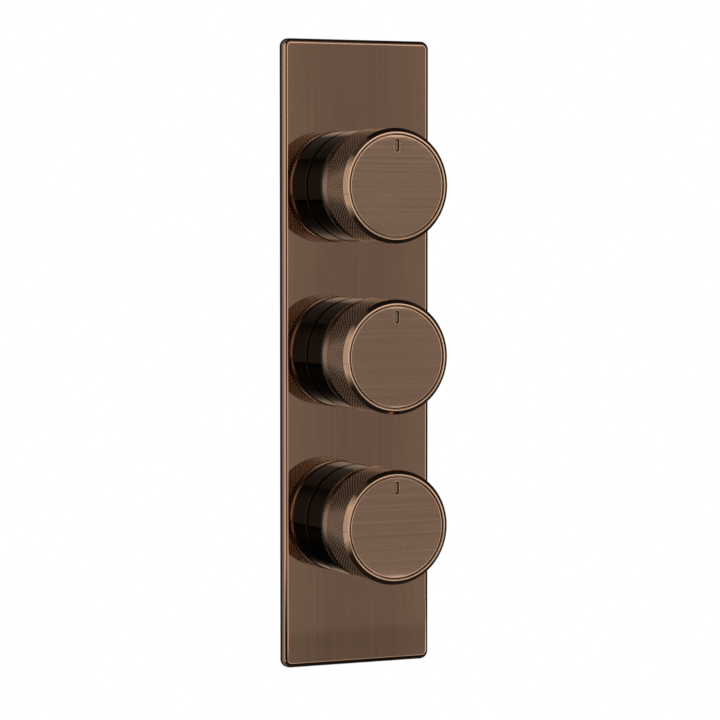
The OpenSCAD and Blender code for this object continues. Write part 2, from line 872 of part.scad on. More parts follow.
module thermostat_shell() {
    color(brass) difference() {
        union() {
            rod(thermo_nose_r, y_thermo_nose, y_seat);
            hexagon(thermo_flange_r, y_seat - flange_t, y_seat);
            rod(thermo_thread_r, y_seat - fit, y_seat + thermo_thread_len);
            rod(thermo_shell_r, y_seat, y_thermo_end);
        }
        rod(spindle_r + fit, y_thermo_nose - cut, y_nut);
        rod(nut_r + free, y_nut - free, y_nut_end + free);
        difference() {
            rod(cup_r + 2 * fit, y_nut_end, y_cold_seat);
            for (a = [0, 180]) rotate([0, a, 0])
                translate([cup_r - key_depth + free, y_cup + key_land + cold_travel + free, -key_w / 2])
                cube([key_depth + cut, y_cold_seat, key_w]);
        }
        rod(shuttle_bore_r, y_cold_seat, y_thermo_end + cut);
        for (y = [y_cold, y_hot, y_gallery]) port_windows(cold_seat_r, y);
        for (y = groove_places) ring(thermo_thread_r + cut, groove_r, y - groove_w / 2, y + groove_w / 2);
    }
}

module thermostat_o_rings() {
    color(rubber) at_bottom() for (y = groove_places)
        torus(groove_r + o_ring_wire_r, o_ring_wire_r - fit, y);
}

module thermostat_spindle() {
    color(brass) difference() {
        union() {
            spindle_end(y_nut + cut);
            rod(nut_r, y_nut, y_nut_end);
        }
        rod(nut_bore_r, y_nut + nut_back_wall, y_nut_end + cut);
    }
}

module temperature_limit_ring() {
    color(plastic) facing(y_limit_ring, y_thermo_nose) difference() {
        circle(thermo_nose_r);
        circle(spindle_r + free);
    }
    color(plastic) facing(y_limit_ring - limit_tab_t, y_limit_ring)
        sector(stop_lug_r, hub_r, tab_half - stop_slack_deg, tab_at);
}

module overload_cup() {
    color(brass) difference() {
        union() {
            rod(nut_bore_r - 2 * fit, y_cup - stem_len, y_cup + cut);
            rod(cup_r, y_cup, y_cup + cup_len);
        }
        rod(cup_r - cup_wall, y_cup + cup_floor_t, y_cup + cup_len + cut);
        for (a = [0, 180]) rotate([0, a, 0])
            translate([cup_r - key_depth, y_cup + key_land, -key_w / 2 - free])
            cube([2 * key_depth, cup_len, key_w + 2 * free]);
    }
}

module overload_retainer() {
    color(steel) rod(cup_r - cup_wall - fit, y_retainer, y_retainer + retainer_t);
}

module overload_spring() {
    color(steel) translate([0, y_cup + cup_floor_t, 0]) rotate([-90, 0, 0])
        coil_spring(overload_coil_r, overload_wire_r, y_retainer - y_cup - cup_floor_t, overload_turns);
}

module wax_element() {
    color(copper) union() {
        rod(wax_pin_r, y_retainer + retainer_t, y_spider - wax_collar_t + cut);
        rod(wax_collar_r, y_spider - wax_collar_t, y_spider);
        rod(wax_r, y_spider - cut, y_spider + wax_len - wax_r);
        translate([0, y_spider + wax_len - wax_r, 0]) sphere(wax_r);
    }
}

module mixing_shuttle() {
    outer_r = shuttle_bore_r - 2 * fit;
    inner_r = outer_r - shuttle_wall;
    hole_at = (wax_r + inner_r) / 2;
    color(dark_plastic) difference() {
        rod(outer_r, y_shuttle, y_shuttle_end);
        rod(inner_r, y_shuttle - cut, y_spider);
        rod(inner_r, y_spider + spider_t, y_shuttle_end + cut);
        rod(wax_r + fit, y_spider - cut, y_shuttle_end);
        for (i = [0 : spider_hole_count - 1]) rotate([0, 360 * i / spider_hole_count, 0])
            translate([hole_at, 0, 0]) rod(spider_hole_r, y_spider - cut, y_shuttle_end);
    }
}

module hot_seat_sleeve() {
    outer_r = shuttle_bore_r - fit;
    color(plastic) difference() {
        rod(outer_r, y_hot_seat, y_thermo_end);
        rod(outer_r - seat_sleeve_wall, y_hot_seat - cut, y_thermo_end - end_flange_t);
        rod(end_flange_r, y_hot_seat, y_thermo_end + cut);
        port_windows(end_flange_r, y_gallery);
    }
}

module return_spring() {
    y_start = y_spider + spider_t;
    color(steel) translate([0, y_start, 0]) rotate([-90, 0, 0])
        coil_spring(return_coil_r, return_wire_r, y_thermo_end - end_flange_t - y_start, return_turns);
}

module inlet_union() {
    reach = arm_reach + washer_t;
    color(brass) difference() {
        union() {
            translate([0, 0, u_union_start]) cylinder(r = union_thread_r, h = reach - u_union_start + cut);
            translate([0, 0, reach]) nut(union_hex_r, union_hex_len);
        }
        translate([0, 0, u_union_start - cut]) cylinder(r = way_r, h = arm_reach);
        translate([0, 0, reach + union_hex_len - pipe_depth]) cylinder(r = pipe_r, h = pipe_depth + cut);
    }
}

module union_washer() {
    translate([0, 0, arm_reach]) difference() {
        cylinder(r = arm_r - break_edge, h = washer_t);
        translate([0, 0, -cut]) cylinder(r = union_thread_r + fit, h = washer_t + 2 * cut);
    }
}

module strainer() {
    u_flange = u_union_start - strainer_flange_t;
    color(steel) difference() {
        union() {
            translate([0, 0, u_flange]) cylinder(r = check_r - fit, h = strainer_flange_t);
            translate([0, 0, u_flange]) cylinder(r = strainer_r, h = strainer_len);
        }
        translate([0, 0, u_flange - cut])
            cylinder(r = strainer_r - strainer_wall, h = strainer_len - strainer_wall + cut);
        for (i = [0 : strainer_slot_count - 1]) rotate(360 * i / strainer_slot_count)
            translate([0, -strainer_slot_w / 2, u_flange + 2 * strainer_flange_t])
            cube([strainer_r + cut, strainer_slot_w, strainer_len - 3 * strainer_flange_t]);
    }
}

module check_body() {
    color(plastic) difference() {
        union() {
            difference() {
                translate([0, 0, u_check_start]) cylinder(r = check_r, h = check_len);
                translate([0, 0, u_check_start - cut])
                    cylinder(r = check_cavity_r, h = check_len - check_seat_t + cut);
            }
            translate([0, 0, u_check_start + guide_lip]) cylinder(r = guide_hub_r, h = guide_t);
            for (i = [0 : 2]) rotate(120 * i)
                translate([0, -guide_arm_w / 2, u_check_start + guide_lip])
                cube([check_r - cut, guide_arm_w, guide_t]);
        }
        translate([0, 0, u_check_start - cut]) cylinder(r = stem_r + fit, h = check_len);
        translate([0, 0, u_seat - cut]) cylinder(r = check_seat_r, h = check_seat_t + 2 * cut);
    }
}

module check_poppet() {
    color(dark_plastic) union() {
        translate([0, 0, u_seat - poppet_t]) cylinder(r = poppet_r, h = poppet_t - fit);
        translate([0, 0, u_check_start + guide_lip - cut / 2])
            cylinder(r = stem_r, h = check_len - check_seat_t - poppet_t);
    }
}

module check_spring() {
    u_start = u_check_start + guide_lip + guide_t;
    color(steel) translate([0, 0, u_start])
        coil_spring(check_coil_r, check_wire_r, u_seat - poppet_t - u_start, check_turns);
}

faceplate();
faceplate_gasket();
sleeve_o_rings();
at_top() trim_sleeve();  // trim_sleeve_top
trim_sleeve();  // trim_sleeve_middle
at_bottom() trim_sleeve();  // trim_sleeve_bottom
at_top() nose_tube();  // nose_tube_top
nose_tube();  // nose_tube_middle
at_bottom() nose_tube();  // nose_tube_bottom
at_top() handle();  // handle_top
handle();  // handle_middle
at_bottom() handle_temperature();
at_top() handle_cap();  // handle_cap_top
handle_cap();  // handle_cap_middle
at_bottom() handle_cap();  // handle_cap_temperature
at_top() handle_screw();  // handle_screw_top
handle_screw();  // handle_screw_middle
at_bottom() handle_screw();  // handle_screw_temperature
at_top() spline_bush();  // spline_bush_top
spline_bush();  // spline_bush_middle
at_bottom() spline_bush();  // spline_bush_temperature
valve_body();
at_top() cartridge_shell();  // cartridge_shell_top
cartridge_shell();  // cartridge_shell_middle
at_top() cartridge_spindle();  // cartridge_spindle_top
cartridge_spindle();  // cartridge_spindle_middle
at_top() spindle_clip();  // spindle_clip_top
spindle_clip();  // spindle_clip_middle
at_top() moving_disc();  // moving_disc_top
moving_disc();  // moving_disc_middle
at_top() fixed_disc();  // fixed_disc_top
fixed_disc();  // fixed_disc_middle
at_top() seat_seal();  // seat_seal_top
seat_seal();  // seat_seal_middle
at_bottom() thermostat_shell();
at_bottom() thermostat_spindle();
at_bottom() temperature_limit_ring();
thermostat_o_rings();
at_bottom() overload_cup();
at_bottom() overload_spring();
at_bottom() overload_retainer();
at_bottom() wax_element();
at_bottom() mixing_shuttle();
at_bottom() return_spring();
at_bottom() hot_seat_sleeve();
along_arm(-1) inlet_union();  // inlet_union_hot
along_arm(1) inlet_union();  // inlet_union_cold
color(rubber) for (side = [-1, 1]) along_arm(side) union_washer();  // union_washers
along_arm(-1) strainer();  // strainer_hot
along_arm(1) strainer();  // strainer_cold
along_arm(-1) check_body();  // check_body_hot
along_arm(1) check_body();  // check_body_cold
along_arm(-1) check_poppet();  // check_poppet_hot
along_arm(1) check_poppet();  // check_poppet_cold
along_arm(-1) check_spring();  // check_spring_hot
along_arm(1) check_spring();  // check_spring_cold
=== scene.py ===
"""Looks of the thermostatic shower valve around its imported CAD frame.

Lengths are in metres in the row frame: X right as seen from the front, Y into the wall, Z up.
"""

import json
import math

import bmesh
import bpy
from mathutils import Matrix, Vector
from mathutils.geometry import tessellate_polygon

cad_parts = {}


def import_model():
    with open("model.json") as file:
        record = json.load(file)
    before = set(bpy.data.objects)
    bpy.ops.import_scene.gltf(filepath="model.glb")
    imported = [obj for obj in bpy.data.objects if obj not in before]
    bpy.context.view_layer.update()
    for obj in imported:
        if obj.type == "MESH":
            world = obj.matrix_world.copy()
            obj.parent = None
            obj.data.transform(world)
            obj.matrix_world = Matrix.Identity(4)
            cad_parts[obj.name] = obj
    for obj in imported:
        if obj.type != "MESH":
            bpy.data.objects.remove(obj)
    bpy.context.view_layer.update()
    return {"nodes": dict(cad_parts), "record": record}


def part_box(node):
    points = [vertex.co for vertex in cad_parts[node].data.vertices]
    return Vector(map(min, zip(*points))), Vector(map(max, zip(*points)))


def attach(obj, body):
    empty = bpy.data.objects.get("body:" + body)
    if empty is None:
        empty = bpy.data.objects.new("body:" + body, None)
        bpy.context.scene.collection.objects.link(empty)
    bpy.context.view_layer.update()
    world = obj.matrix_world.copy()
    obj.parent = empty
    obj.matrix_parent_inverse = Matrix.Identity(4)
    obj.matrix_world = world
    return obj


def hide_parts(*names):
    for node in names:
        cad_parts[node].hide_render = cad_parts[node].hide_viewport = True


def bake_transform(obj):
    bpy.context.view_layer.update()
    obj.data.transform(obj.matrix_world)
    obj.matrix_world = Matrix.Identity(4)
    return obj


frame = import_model()

MM = 0.001
TURN = 2 * math.pi
WHITE = (1, 1, 1)

# The names of the sleeves, and each handle's name with the body that turns with it
SLEEVES = ("top", "middle", "bottom")
HANDLES = (
    ("top", "top_handle"),
    ("middle", "middle_handle"),
    ("temperature", "temperature_handle"),
)
# Handles: radius, distance between their axes, and front of the chamfer at their rear end
HANDLE_R, HANDLE_PITCH, CHAMFER_FRONT = 27 * MM, 80 * MM, -23.3 * MM
# Knurl: its two ends along Y, radius of its grooves and of its tops
KNURL_BACK, KNURL_FRONT = -27.9 * MM, -46.5 * MM
VALLEY_R, PEAK_R = HANDLE_R - 0.42 * MM, HANDLE_R - 0.01 * MM
# Diamonds in a turn, length of one along Y, and the share of it that is flat on top
KNURL_COUNT, KNURL_STEP, KNURL_FLAT = 98, 2.86 * MM, 0.42
# Front caps: radius of the flat face and its place along Y
CAP_FLAT_R, CAP_FACE_Y = 22.6 * MM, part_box("handle_cap_top")[0].y

# Node helpers


class Graph:
    """Short calls for building a node tree."""

    # Level that a ramp's colour of 1 stands for
    BRIGHTEST = 4.0

    def __init__(self, tree):
        self.tree = tree
        self.tree.nodes.clear()

    def add(self, kind, values=None, **settings):
        made = self.tree.nodes.new(kind)
        for key, value in settings.items():
            setattr(made, key, value)
        for key, value in (values or {}).items():
            if isinstance(value, bpy.types.NodeSocket):
                self.tree.links.new(value, made.inputs[key])
            else:
                made.inputs[key].default_value = value
        return made

    def math(self, operation, *values):
        return self.add("ShaderNodeMath", dict(enumerate(values)), operation=operation).outputs[0]

    def times(self, first, *others):
        for other in others:
            first = self.math("MULTIPLY", first, other)
        return first

    def weighted(self, first, second, share):
        """The first value by that share, and the second by the rest."""
        return self.math("ADD", self.times(first, share), self.times(second, 1 - share))

    def split(self, vector):
        return self.add("ShaderNodeSeparateXYZ", {0: vector}).outputs

    def place(self):
        """Place in the row frame."""
        return self.add("ShaderNodeTexCoord").outputs["Object"]

    def noise(self, place, cells, detail, roughness=0.55):
        """Noise with that many cells in a metre along X, Y and Z."""
        values = {"Vector": place, "Scale": cells}
        scaled = self.add("ShaderNodeMapping", values, vector_type="POINT").outputs[0]
        values = {"Vector": scaled, "Scale": 1.0, "Detail": detail, "Roughness": roughness}
        return self.add("ShaderNodeTexNoise", values).outputs["Fac"]

    def spread(self, value, low, high, to_low, to_high):
        values = {"Value": value, "From Min": low, "From Max": high}
        values.update({"To Min": to_low, "To Max": to_high})
        return self.add("ShaderNodeMapRange", values).outputs["Result"]

    def levels(self, value, stops):
        """Light level by stops of (value, level), from the lowest value to the highest."""
        low, high = stops[0][0], stops[-1][0]
        ramp = self.add("ShaderNodeValToRGB", {"Fac": self.spread(value, low, high, 0, 1)})
        elements = ramp.color_ramp.elements
        while len(elements) < len(stops):
            elements.new(0.5)
        for element, (at, _) in zip(elements, stops):
            element.position = (at - low) / (high - low)
        for element, (_, level) in zip(elements, stops):
            share = level / self.BRIGHTEST
            element.color = (share, share, share, 1)
        return self.times(ramp.outputs[0], self.BRIGHTEST)

    def mixed(self, factor, first, second):
        """From the first colour to the second, each a socket or three values."""
        values = {0: factor}
        for key, colour in ((6, first), (7, second)):
            values[key] = colour if isinstance(colour, bpy.types.NodeSocket) else (*colour, 1)
        return self.add("ShaderNodeMix", values, data_type="RGBA").outputs[2]

    def in_view(self):
        """The kinds of ray, and 1 for a ray that comes from the camera, through glass or not."""
        kinds = self.add("ShaderNodeLightPath").outputs
        return kinds, self.math("MAXIMUM", kinds["Is Camera Ray"], kinds["Is Transmission Ray"])

    def white_in_view(self, seen, level):
        """Strength 1 in the camera's view and of that level elsewhere."""
        return self.math("ADD", seen, self.times(self.math("SUBTRACT", 1.0, seen), level))


def material(name):
    """A new material and its graph."""
    made = bpy.data.materials.new(name)
    made.use_nodes = True
    return made, Graph(made.node_tree)


def linear(*display):
    """Display colour as 0 to 255, turned into scene values."""
    return tuple(((c / 255 + 0.055) / 1.055) ** 2.4 if c > 10 else c / 255 / 12.92 for c in display)


def shade(colour, factor):
    return tuple(min(1.0, c * factor) for c in colour)


# Materials

# Cells in a metre of the cloudy wear and of the cloudy tone, and broad lines to one fine line
WEAR_CELLS, CLOUD_CELLS, BROAD_LINES = (28, 28, 28), (45, 45, 45), 0.4
# Share of the fine lines in the tone, of the broad ones in the roughness and of clouds in a grain
LINES_SHARE, BROAD_SHARE, CLOUD_SHARE = 0.65, 0.7, 0.7
# Part of the noise's range that is spread over a material's whole range
TONE_RANGE, MIX_RANGE, WEAR_RANGE = (0.35, 0.65), (0.3, 0.7), (0.5, 0.8)
# Depth of the fine lines, and how much lighter worn metal and painted light make the colour
LINE_DEPTH, WEAR_AND_PAINTED_LIGHT = 0.2 * MM, 1.35


def brushed(
    name,
    colour,
    fine,
    rough,
    contrast,
    bump,
    wear=0.1,
    painted_light=None,
    painted_shade=None,
    shaded_share=0,
    edge=WHITE,
):
    """Metal with fine parallel lines.

    Fine gives the lines' cells in a metre along X, Y and Z, most across the lines. A function for
    painted light gives how much lighter a place is painted, from 0 to 1. A function for painted
    shade gives 1 where the colour is left as it is and 0 where painted shade darkens it to the
    shaded share, and the least roughness.
    Edge is the tint of what the metal mirrors at a glancing angle.
    """
    made, g = material(name)
    place = g.place()
    lines = g.noise(place, fine, 2.0)
    broad = g.noise(place, tuple(BROAD_LINES * f for f in fine), 3.0)
    cloud = g.noise(place, WEAR_CELLS, 4.0)
    tone = g.spread(g.weighted(lines, broad, LINES_SHARE), *TONE_RANGE, 0, 1)
    shown = g.mixed(tone, shade(colour, 1 - contrast), shade(colour, 1 + contrast))
    lighter = g.spread(cloud, *WEAR_RANGE, 0, wear)
    # Painted light: a function can paint places lighter, added to the cloudy wear
    if painted_light:
        lighter = g.math("ADD", lighter, painted_light(g, place))
    shown = g.mixed(lighter, shown, shade(colour, WEAR_AND_PAINTED_LIGHT))
    roughness = g.spread(g.weighted(broad, cloud, BROAD_SHARE), *MIX_RANGE, *rough)
    # Painted shade: a function darkens places towards the shaded share
    if painted_shade:
        unshaded, coarse = painted_shade(g, place)
        shown = g.mixed(unshaded, shade(colour, shaded_share), shown)
        roughness = g.math("MAXIMUM", roughness, coarse)
    height = g.add("ShaderNodeBump", {"Strength": bump, "Distance": LINE_DEPTH, "Height": lines})
    values = {
        "Base Color": shown,
        "Metallic": 1.0,
        "Roughness": roughness,
        "Specular Tint": (*edge, 1),
        "Normal": height.outputs["Normal"],
    }
    surface = g.add("ShaderNodeBsdfPrincipled", values)
    g.add("ShaderNodeOutputMaterial", {"Surface": surface.outputs[0]})
    return made


def grained(name, colour, second, metallic, rough, grain, bump, depth=0.2 * MM):
    """Cast, moulded or soft material: cloudy colour, and a grain of that many cells in a metre."""
    made, g = material(name)
    place = g.place()
    cloud = g.noise(place, CLOUD_CELLS, 5.0, 0.6)
    fine = g.noise(place, (grain, grain, grain), 3.0)
    mix = g.weighted(cloud, fine, CLOUD_SHARE)
    height = g.add("ShaderNodeBump", {"Strength": bump, "Distance": depth, "Height": fine})
    values = {
        "Base Color": g.mixed(g.spread(mix, *MIX_RANGE, 0, 1), colour, second),
        "Metallic": metallic,
        "Roughness": g.spread(mix, *MIX_RANGE, *rough),
        "Normal": height.outputs["Normal"],
    }
    surface = g.add("ShaderNodeBsdfPrincipled", values)
    g.add("ShaderNodeOutputMaterial", {"Surface": surface.outputs[0]})
    return made


def axis_distance(g, x, z):
    """Distance from the nearest handle's axis."""
    row = g.math("ROUND", g.math("DIVIDE", z, HANDLE_PITCH))
    offset = g.math("SUBTRACT", z, g.times(row, HANDLE_PITCH))
    return g.math("SQRT", g.math("ADD", g.times(x, x), g.times(offset, offset)))


def painted_lit_sides(g, place):
    """Painted light: the faceplate's colour is painted lighter towards its two long sides."""
    start, end, most = 14 * MM, 38 * MM, 0.6
    return g.spread(g.math("ABSOLUTE", g.split(place)[0]), start, end, 0, most)


def knurl_painted_shade(g, place):
    """Painted shade on the handles by the distance from their axis, and its roughness.

    The knurl is left unshaded on its tops and painted dark as shade in its grooves, and the smooth
    band behind it is painted evenly darker as shade.
    """
    dark_r, unshaded_r, skin_r = VALLEY_R + 0.06 * MM, PEAK_R - 0.12 * MM, VALLEY_R - MM
    knurl_rough, band_rough, band_shaded = 0.26, 0.2, 0.4
    x, y, z = g.split(place)
    radius = axis_distance(g, x, z)
    # Painted shade: darker towards the bottom of the knurl's grooves
    sunk = g.spread(radius, dark_r, unshaded_r, 1, 0)
    inside = g.times(g.math("LESS_THAN", y, KNURL_BACK), g.math("GREATER_THAN", y, KNURL_FRONT))
    skin = g.math("GREATER_THAN", radius, skin_r)
    behind = g.times(g.math("GREATER_THAN", y, KNURL_BACK), skin)
    coarse = g.math("ADD", g.times(inside, knurl_rough), g.times(behind, band_rough))
    # Painted shade: the smooth band behind the knurl is darkened evenly
    band = g.times(behind, g.math("LESS_THAN", y, CHAMFER_FRONT), band_shaded)
    return g.math("SUBTRACT", 1.0, g.math("ADD", g.times(sunk, inside), band)), coarse


def recess_painted_shade(g, place):
    """Painted shade in the index recess: dark on its sloped sides, by the depth below the cap's
    face.
    """
    start, full, end, rough = 0.03 * MM, 0.09 * MM, 0.6 * MM, 0.3
    x, y, z = g.split(place)
    depth = g.math("SUBTRACT", y, CAP_FACE_Y)
    sides = g.times(g.spread(depth, start, full, 0, 1), g.math("LESS_THAN", depth, end))
    sunk = g.times(sides, g.math("LESS_THAN", axis_distance(g, x, z), CAP_FLAT_R))
    return g.math("SUBTRACT", 1.0, sunk), g.times(sunk, rough)


BRASS, CAST_BRASS = linear(206, 176, 112), linear(178, 146, 88)
STEEL, COPPER = linear(196, 196, 192), linear(214, 142, 108)
TURNED = {"rough": (0.2, 0.32), "contrast": 0.08, "bump": 0.05, "wear": 0.2}

# Material of each slot in the record
MATERIALS = {
    "bronze_plate": brushed(
        "plate_metal",
        linear(120, 94, 77),
        (1900, 300, 14),
        rough=(0.02, 0.045),
        contrast=0.08,
        bump=0.012,
        wear=0.16,
        # Painted light: the plate is painted lighter towards its long sides
        painted_light=painted_lit_sides,
    ),
    "bronze_sleeve": brushed(
        "sleeve_metal",
        linear(107, 101, 95),
        (60, 2400, 60),
        rough=(0.03, 0.07),
        contrast=0.06,
        bump=0.012,
        edge=(0.54, 0.63, 0.68),
    ),
    "bronze_handle": brushed(
        "handle_metal",
        linear(142, 113, 91),
        (60, 2600, 60),
        rough=(0.05, 0.1),
        contrast=0.06,
        bump=0.012,
        # Painted shade in the knurl's grooves and on the band behind it
        painted_shade=knurl_painted_shade,
        shaded_share=0.45,
    ),
    "bronze_cap": brushed(
        "cap_metal",
        linear(128, 102, 84),
        (14, 300, 1900),
        rough=(0.1, 0.17),
        contrast=0.05,
        bump=0.03,
        # Painted shade on the index recess's sloped sides
        painted_shade=recess_painted_shade,
        shaded_share=0.05,
    ),
    "turned_brass": brushed("turned_brass_y", BRASS, (70, 2000, 70), **TURNED),
    "stainless": brushed("stainless", STEEL, (900, 900, 900), (0.2, 0.34), 0.06, 0.03),
    "copper": brushed("drawn_copper", COPPER, (80, 1500, 80), (0.22, 0.34), 0.1, 0.03),
    "cast_brass": grained(
        "cast_brass",
        CAST_BRASS,
        shade(CAST_BRASS, 0.72),
        metallic=1.0,
        rough=(0.38, 0.55),
        grain=900,
        bump=0.35,
        depth=0.4 * MM,
    ),
    "ceramic": grained(
        "ceramic",
        linear(226, 222, 210),
        linear(214, 209, 196),
        metallic=0.0,
        rough=(0.12, 0.2),
        grain=2500,
        bump=0.02,
    ),
    "seal_rubber": grained(
        "seal_rubber",
        linear(34, 34, 35),
        linear(48, 48, 49),
        metallic=0.0,
        rough=(0.5, 0.68),
        grain=2200,
        bump=0.12,
    ),
    "gasket_foam": grained(
        "gasket_foam",
        linear(48, 48, 49),
        linear(70, 70, 71),
        metallic=0.0,
        rough=(0.8, 0.95),
        grain=1600,
        bump=0.5,
        depth=0.4 * MM,
    ),
    "white_plastic": grained(
        "white_plastic",
        linear(226, 226, 219),
        linear(214, 214, 206),
        metallic=0.0,
        rough=(0.3, 0.42),
        grain=1500,
        bump=0.05,
    ),
    "dark_plastic": grained(
        "dark_plastic",
        linear(46, 46, 50),
        linear(58, 58, 62),
        metallic=0.0,
        rough=(0.3, 0.42),
        grain=1500,
        bump=0.06,
    ),
}
# The inlet unions are turned about X
INLET_BRASS = brushed("turned_brass_x", BRASS, (2000, 70, 70), **TURNED)

# Mesh helpers

# Points closer than this are one, and edges sharper than this stay sharp
WELD, SHARP = 1e-7, math.radians(26)
# Sides of a turned piece and of a hole in the faceplate, and steps in a quarter turn of its edge
SIDES, HOLE_SIDES, QUARTER_STEPS = 224, 128, 14
# Size and steps of the eased corners of turned pieces, and the most of a side that one takes
EASE, EASE_STEPS, MOST_OF_SIDE = 0.12 * MM, 4, 0.45


def piece(name, points, faces, body, slot, node):
    """A mesh that rides on a body, has a slot's material and stands for a CAD node."""
    mesh = bpy.data.meshes.new(name)
    mesh.from_pydata([tuple(p) for p in points], [], [tuple(f) for f in faces])
    welded = bmesh.new()
    welded.from_mesh(mesh)
    bmesh.ops.remove_doubles(welded, verts=welded.verts, dist=WELD)
    bmesh.ops.recalc_face_normals(welded, faces=welded.faces)
    welded.to_mesh(mesh)
    welded.free()
    mesh.validate()
    mesh.update()
    mesh.materials.append(MATERIALS[slot])
    mesh.shade_smooth()
    mesh.set_sharp_from_angle(angle=SHARP)
    made = bpy.data.objects.new(name, mesh)
    bpy.context.scene.collection.objects.link(made)
    even = made.modifiers.new("even_normals", "WEIGHTED_NORMAL")
    even.keep_sharp = True
    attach(made, body)
    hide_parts(node)


def eased(outline):
    """A closed outline with its corners rounded.

    The round starts that far from a corner: its third value, or else EASE, and less where a side
    is short.
    """
    made = []
    count = len(outline)
    for i in range(count):
        before, here, after = (Vector((*outline[(i + k) % count][:2], 0)) for k in (-1, 0, 1))
        back, ahead = before - here, after - here
        wanted = outline[i][2] if len(outline[i]) > 2 else EASE
        reach = min(wanted, MOST_OF_SIDE * back.length, MOST_OF_SIDE * ahead.length)
        start, end = here + back.normalized() * reach, here + ahead.normalized() * reach
        for k in range(EASE_STEPS + 1):
            t = k / EASE_STEPS
            at = (1 - t) ** 2 * start + 2 * t * (1 - t) * here + t * t * end
            made.append((at.x, at.y))
    return made


def lathe(outline, z, closed=True):
    """Points and faces of an outline of (radius, y) turned around the Y axis at height z."""
    rings = len(outline)
    points = [
        (r * math.sin(TURN * k / SIDES), y, z + r * math.cos(TURN * k / SIDES))
        for k in range(SIDES)
        for r, y in outline
    ]
    faces = []
    for k in range(SIDES):
        a, b = k * rings, (k + 1) % SIDES * rings
        for i in range(rings if closed else rings - 1):
            j = (i + 1) % rings
            faces.append((a + i, b + i, b + j, a + j))
    return points, faces


def joined(*parts):
    """Several pairs of points and faces as one."""
    points, faces = [], []
    for more_points, more_faces in parts:
        start = len(points)
        points += list(more_points)
        faces += [tuple(start + i for i in f) for f in more_faces]
    return points, faces


def bridge(points, faces, first, second):
    """Faces from the ring that starts at first to another ring; returns where that one starts."""
    count = len(second)
    start = len(points)
    points += second
    for i in range(count):
        j = (i + 1) % count
        faces.append((first + i, first + j, start + j, start + i))
    return start


def flat(points, faces, *loops):
    """A flat face of the first loop around the others; their points are added."""
    start = len(points)
    for loop in loops:
        points.extend(loop)
    corners = [[Vector((p[0], p[2], 0)) for p in loop] for loop in loops]
    faces.extend(tuple(start + i for i in t) for t in tessellate_polygon(corners))


# Faceplate

plate_low, plate_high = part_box("faceplate")
PLATE_T = plate_high.y - plate_low.y
HALF_W, HALF_H = (plate_high.x - plate_low.x) / 2, (plate_high.z - plate_low.z) / 2
# Radius of the front edge, of the corners and of the holes
EDGE_R, CORNER_R, HOLE_R = 2.3 * MM, 4 * MM, 20.7 * MM
# Thickness of the front and of the rim behind it
SKIN, RIM = 2.4 * MM, 3 * MM


def plate_ring(inset, y):
    """Rounded rectangle at an inset from the plate's outline."""
    radius = CORNER_R - inset
    made = []
    for sx, sz, first in ((1, 1, 0), (-1, 1, 90), (-1, -1, 180), (1, -1, 270)):
        for k in range(QUARTER_STEPS + 1):
            a = math.radians(first + 90 * k / QUARTER_STEPS)
            x = sx * (HALF_W - CORNER_R) + radius * math.cos(a)
            made.append((x, y, sz * (HALF_H - CORNER_R) + radius * math.sin(a)))
    return made


def hole_ring(z, y):
    """Ring of points of a handle's hole."""
    turns = (TURN * k / HOLE_SIDES for k in range(HOLE_SIDES))
    return [(HOLE_R * math.cos(a), y, z + HOLE_R * math.sin(a)) for a in turns]


def faceplate():
    heights = [sum(c.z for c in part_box("trim_sleeve_" + where)) / 2 for where in SLEEVES]
    y_front, y_skin, y_edge = -PLATE_T, -PLATE_T + SKIN, -(PLATE_T - EDGE_R)
    points, faces = plate_ring(0, 0), []
    at = bridge(points, faces, 0, plate_ring(0, y_edge))
    for k in range(1, QUARTER_STEPS + 1):
        a = math.radians(90 * k / QUARTER_STEPS)
        ring = plate_ring(EDGE_R * (1 - math.cos(a)), y_edge - EDGE_R * math.sin(a))
        at = bridge(points, faces, at, ring)
    in_w, in_h = HALF_W - RIM, HALF_H - RIM
    inner = ((in_w, in_h), (-in_w, in_h), (-in_w, -in_h), (in_w, -in_h))
    inner_back, inner_skin = ([(x, y, z) for x, z in inner] for y in (0, y_skin))
    holes_front, holes_skin = ([hole_ring(z, y) for z in heights] for y in (y_front, y_skin))
    flat(points, faces, plate_ring(EDGE_R, y_front), *(ring[::-1] for ring in holes_front))
    flat(points, faces, inner_skin, *(ring[::-1] for ring in holes_skin))
    flat(points, faces, plate_ring(0, 0), inner_back[::-1])
    for front, back in (*zip(holes_front, holes_skin), (inner_back, inner_skin)):
        start = len(points)
        points.extend(front)
        bridge(points, faces, start, back)
    piece("faceplate_brushed", points, faces, "valve", "bronze_plate", "faceplate")


# Trim sleeves


def sleeve(where):
    node = "trim_sleeve_" + where
    low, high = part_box(node)
    r, z = (high.x - low.x) / 2, (high.z + low.z) / 2
    bore, wall, base = 20.5 * MM, 1.6 * MM, 5 * MM
    groove_y, groove_half, groove_r = high.y - base / 2, 1.1 * MM, 22.55 * MM
    gap, gap_depth, gap_corner = 1 * MM, 1.3 * MM, 0.3 * MM
    outline = [
        (bore, high.y),
        (r - gap_depth, high.y),
        (r - gap_depth, high.y - gap),
        (r, high.y - gap, gap_corner),
        (r, low.y),
        (r - wall, low.y),
        (r - wall, high.y - base),
        (bore, high.y - base),
        (bore, groove_y - groove_half),
        (groove_r, groove_y - groove_half),
        (groove_r, groove_y + groove_half),
        (bore, groove_y + groove_half),
    ]
    piece(node + "_turned", *lathe(eased(outline), z), "valve", "bronze_sleeve", node)


# Handles


